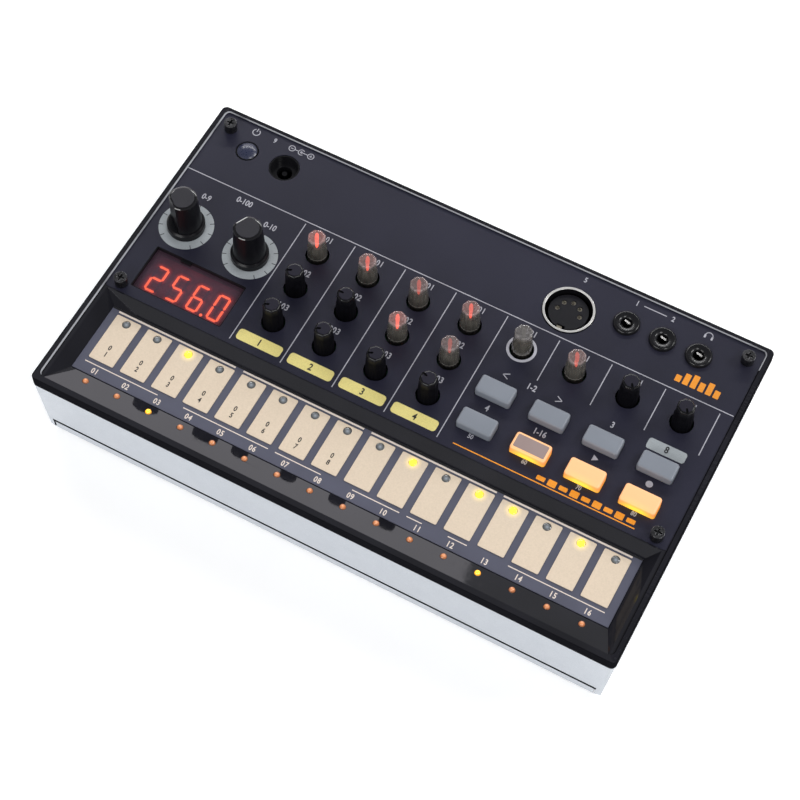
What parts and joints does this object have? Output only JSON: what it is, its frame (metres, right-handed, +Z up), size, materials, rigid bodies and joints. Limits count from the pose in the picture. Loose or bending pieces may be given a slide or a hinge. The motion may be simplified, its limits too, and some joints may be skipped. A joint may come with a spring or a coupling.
{
  "type": "drum machine",
  "caption": "Compact tabletop drum machine: drafted case, sunk touch-pad tray, turning knobs, sprung buttons, sockets and a slide-off battery cover.",
  "frame": {"origin": "middle of the footprint, on the table", "axes": "+X to the right, +Y to the back edge with the sockets, +Z up"},
  "size_m": [0.193, 0.115, 0.046],
  "materials": {
    "case_silver": "satin silver-white paint",
    "frame_black": "gloss black",
    "deck_print": "satin dark grey print",
    "board_blue": "satin solder mask",
    "pad_cream": "smooth cream",
    "light_lens": "clear lens",
    "window_smoke": "smoked gloss",
    "knob_smoke": "clear smoked, gloss",
    "knob_black": "satin black",
    "key_grey": "satin translucent grey",
    "key_lit": "satin translucent, lit",
    "power_blue": "translucent blue-grey",
    "rubber_black": "matt",
    "screw_black": "black",
    "steel": "brushed",
    "chrome": "bright",
    "socket_black": "satin black",
    "board_green": "solder mask",
    "part_dark": "satin",
    "contact_metal": "nickel",
    "cable_pale": "satin"
  },
  "bodies": {
    "housing": {"lower_case": "case_silver", "rear_feet": "rubber_black", "case_screws": "steel", "contact_springs": "contact_metal", "contact_plates": "contact_metal", "speaker_frame": "part_dark", "speaker_cone": "part_dark", "main_board": "board_green", "board_chips": "part_dark", "small_pots": "board_green", "dial_pots": "board_green", "key_switches": "part_dark", "display_module": "part_dark", "ribbon_cable": "cable_pale", "touch_board": "board_blue", "touch_pads": "pad_cream", "pad_lights": "light_lens", "part_lights": "light_lens", "top_frame": "frame_black", "deck_panel": "deck_print", "panel_screws": "screw_black", "display_window": "window_smoke", "data_socket_shell": "chrome", "data_socket_core": "socket_black", "sync_in_jack": "socket_black", "sync_out_jack": "socket_black", "headphone_jack": "socket_black", "power_socket": "socket_black"},
    "cover": {"battery_cover": "case_silver", "cover_feet": "rubber_black"},
    "left_dial": {"left_dial_shaft": "steel", "left_dial_knob": "knob_black"},
    "right_dial": {"right_dial_shaft": "steel", "right_dial_knob": "knob_black"},
    "kick_back": {"kick_back_knob": "knob_smoke"},
    "kick_middle": {"kick_middle_knob": "knob_black"},
    "kick_front": {"kick_front_knob": "knob_black"},
    "snare_back": {"snare_back_knob": "knob_smoke"},
    "snare_middle": {"snare_middle_knob": "knob_black"},
    "snare_front": {"snare_front_knob": "knob_black"},
    "tom_back": {"tom_back_knob": "knob_smoke"},
    "tom_middle": {"tom_middle_knob": "knob_smoke"},
    "tom_front": {"tom_front_knob": "knob_black"},
    "hat_back": {"hat_back_knob": "knob_smoke"},
    "hat_middle": {"hat_middle_knob": "knob_smoke"},
    "hat_front": {"hat_front_knob": "knob_black"},
    "speed": {"speed_knob": "knob_smoke"},
    "tempo": {"tempo_knob": "knob_smoke"},
    "level": {"level_knob": "knob_black"},
    "volume": {"volume_knob": "knob_black"},
    "part_down": {"part_down_button": "key_grey"},
    "part_up": {"part_up_button": "key_grey"},
    "mute": {"mute_button": "key_grey"},
    "function": {"function_button": "key_grey"},
    "memory": {"memory_button": "key_grey"},
    "step": {"step_button": "key_lit"},
    "play": {"play_button": "key_lit"},
    "record": {"record_button": "key_lit"},
    "power": {"power_button": "power_blue"}
  },
  "joints": [
    {"name": "battery_cover_slide", "type": "slide", "parent": "housing", "child": "cover", "axis": [0, -1, 0], "range_m": [0, 0.034]},
    {"name": "left_dial_turn", "type": "hinge", "parent": "housing", "child": "left_dial", "pos_m": [-0.0835, 0.0116, 0.0305], "axis": [0, 0, 1], "range_deg": [-282, 0]},
    {"name": "right_dial_turn", "type": "hinge", "parent": "housing", "child": "right_dial", "pos_m": [-0.0606, 0.0116, 0.0305], "axis": [0, 0, 1], "range_deg": [-204.4, 77.6]},
    {"name": "kick_back_turn", "type": "hinge", "parent": "housing", "child": "kick_back", "pos_m": [-0.0424, 0.0218, 0.0305], "axis": [0, 0, 1], "range_deg": [-180, 120]},
    {"name": "kick_middle_turn", "type": "hinge", "parent": "housing", "child": "kick_middle", "pos_m": [-0.0424, 0.008, 0.0305], "axis": [0, 0, 1], "range_deg": [-265, 35]},
    {"name": "kick_front_turn", "type": "hinge", "parent": "housing", "child": "kick_front", "pos_m": [-0.0424, -0.0058, 0.0305], "axis": [0, 0, 1], "range_deg": [-265, 35]},
    {"name": "snare_back_turn", "type": "hinge", "parent": "housing", "child": "snare_back", "pos_m": [-0.02473, 0.0218, 0.0305], "axis": [0, 0, 1], "range_deg": [-150, 150]},
    {"name": "snare_middle_turn", "type": "hinge", "parent": "housing", "child": "snare_middle", "pos_m": [-0.02473, 0.008, 0.0305], "axis": [0, 0, 1], "range_deg": [-240, 60]},
    {"name": "snare_front_turn", "type": "hinge", "parent": "housing", "child": "snare_front", "pos_m": [-0.02473, -0.0058, 0.0305], "axis": [0, 0, 1], "range_deg": [-265, 35]},
    {"name": "tom_back_turn", "type": "hinge", "parent": "housing", "child": "tom_back", "pos_m": [-0.00706, 0.0218, 0.0305], "axis": [0, 0, 1], "range_deg": [-120, 180]},
    {"name": "tom_middle_turn", "type": "hinge", "parent": "housing", "child": "tom_middle", "pos_m": [-0.00706, 0.008, 0.0305], "axis": [0, 0, 1], "range_deg": [-210, 90]},
    {"name": "tom_front_turn", "type": "hinge", "parent": "housing", "child": "tom_front", "pos_m": [-0.00706, -0.0058, 0.0305], "axis": [0, 0, 1], "range_deg": [-265, 35]},
    {"name": "hat_back_turn", "type": "hinge", "parent": "housing", "child": "hat_back", "pos_m": [0.01061, 0.0218, 0.0305], "axis": [0, 0, 1], "range_deg": [-150, 150]},
    {"name": "hat_middle_turn", "type": "hinge", "parent": "housing", "child": "hat_middle", "pos_m": [0.01061, 0.008, 0.0305], "axis": [0, 0, 1], "range_deg": [-90, 210]},
    {"name": "hat_front_turn", "type": "hinge", "parent": "housing", "child": "hat_front", "pos_m": [0.01061, -0.0058, 0.0305], "axis": [0, 0, 1], "range_deg": [-220, 80]},
    {"name": "speed_turn", "type": "hinge", "parent": "housing", "child": "speed", "pos_m": [0.02828, 0.0218, 0.0305], "axis": [0, 0, 1], "range_deg": [-150, 150]},
    {"name": "tempo_turn", "type": "hinge", "parent": "housing", "child": "tempo", "pos_m": [0.04595, 0.0218, 0.0305], "axis": [0, 0, 1], "range_deg": [-150, 150]},
    {"name": "level_turn", "type": "hinge", "parent": "housing", "child": "level", "pos_m": [0.06362, 0.0218, 0.0305], "axis": [0, 0, 1], "range_deg": [0, 300]},
    {"name": "volume_turn", "type": "hinge", "parent": "housing", "child": "volume", "pos_m": [0.08129, 0.0218, 0.0305], "axis": [0, 0, 1], "range_deg": [0, 300]},
    {"name": "part_down_press", "type": "slide", "parent": "housing", "child": "part_down", "axis": [0, 0, -1], "range_m": [0, 0.0007], "stiffness_N_per_m": 800, "springref_m": -0.0006},
    {"name": "part_up_press", "type": "slide", "parent": "housing", "child": "part_up", "axis": [0, 0, -1], "range_m": [0, 0.0007], "stiffness_N_per_m": 800, "springref_m": -0.0006},
    {"name": "mute_press", "type": "slide", "parent": "housing", "child": "mute", "axis": [0, 0, -1], "range_m": [0, 0.0007], "stiffness_N_per_m": 800, "springref_m": -0.0006},
    {"name": "function_press", "type": "slide", "parent": "housing", "child": "function", "axis": [0, 0, -1], "range_m": [0, 0.0007], "stiffness_N_per_m": 800, "springref_m": -0.0006},
    {"name": "memory_press", "type": "slide", "parent": "housing", "child": "memory", "axis": [0, 0, -1], "range_m": [0, 0.0007], "stiffness_N_per_m": 800, "springref_m": -0.0006},
    {"name": "step_press", "type": "slide", "parent": "housing", "child": "step", "axis": [0, 0, -1], "range_m": [0, 0.0007], "stiffness_N_per_m": 800, "springref_m": -0.0006},
    {"name": "play_press", "type": "slide", "parent": "housing", "child": "play", "axis": [0, 0, -1], "range_m": [0, 0.0007], "stiffness_N_per_m": 800, "springref_m": -0.0006},
    {"name": "record_press", "type": "slide", "parent": "housing", "child": "record", "axis": [0, 0, -1], "range_m": [0, 0.0007], "stiffness_N_per_m": 800, "springref_m": -0.0006},
    {"name": "power_press", "type": "slide", "parent": "housing", "child": "power", "axis": [0, 0, -1], "range_m": [0, 0.0007], "stiffness_N_per_m": 800, "springref_m": -0.0006}
  ]
}
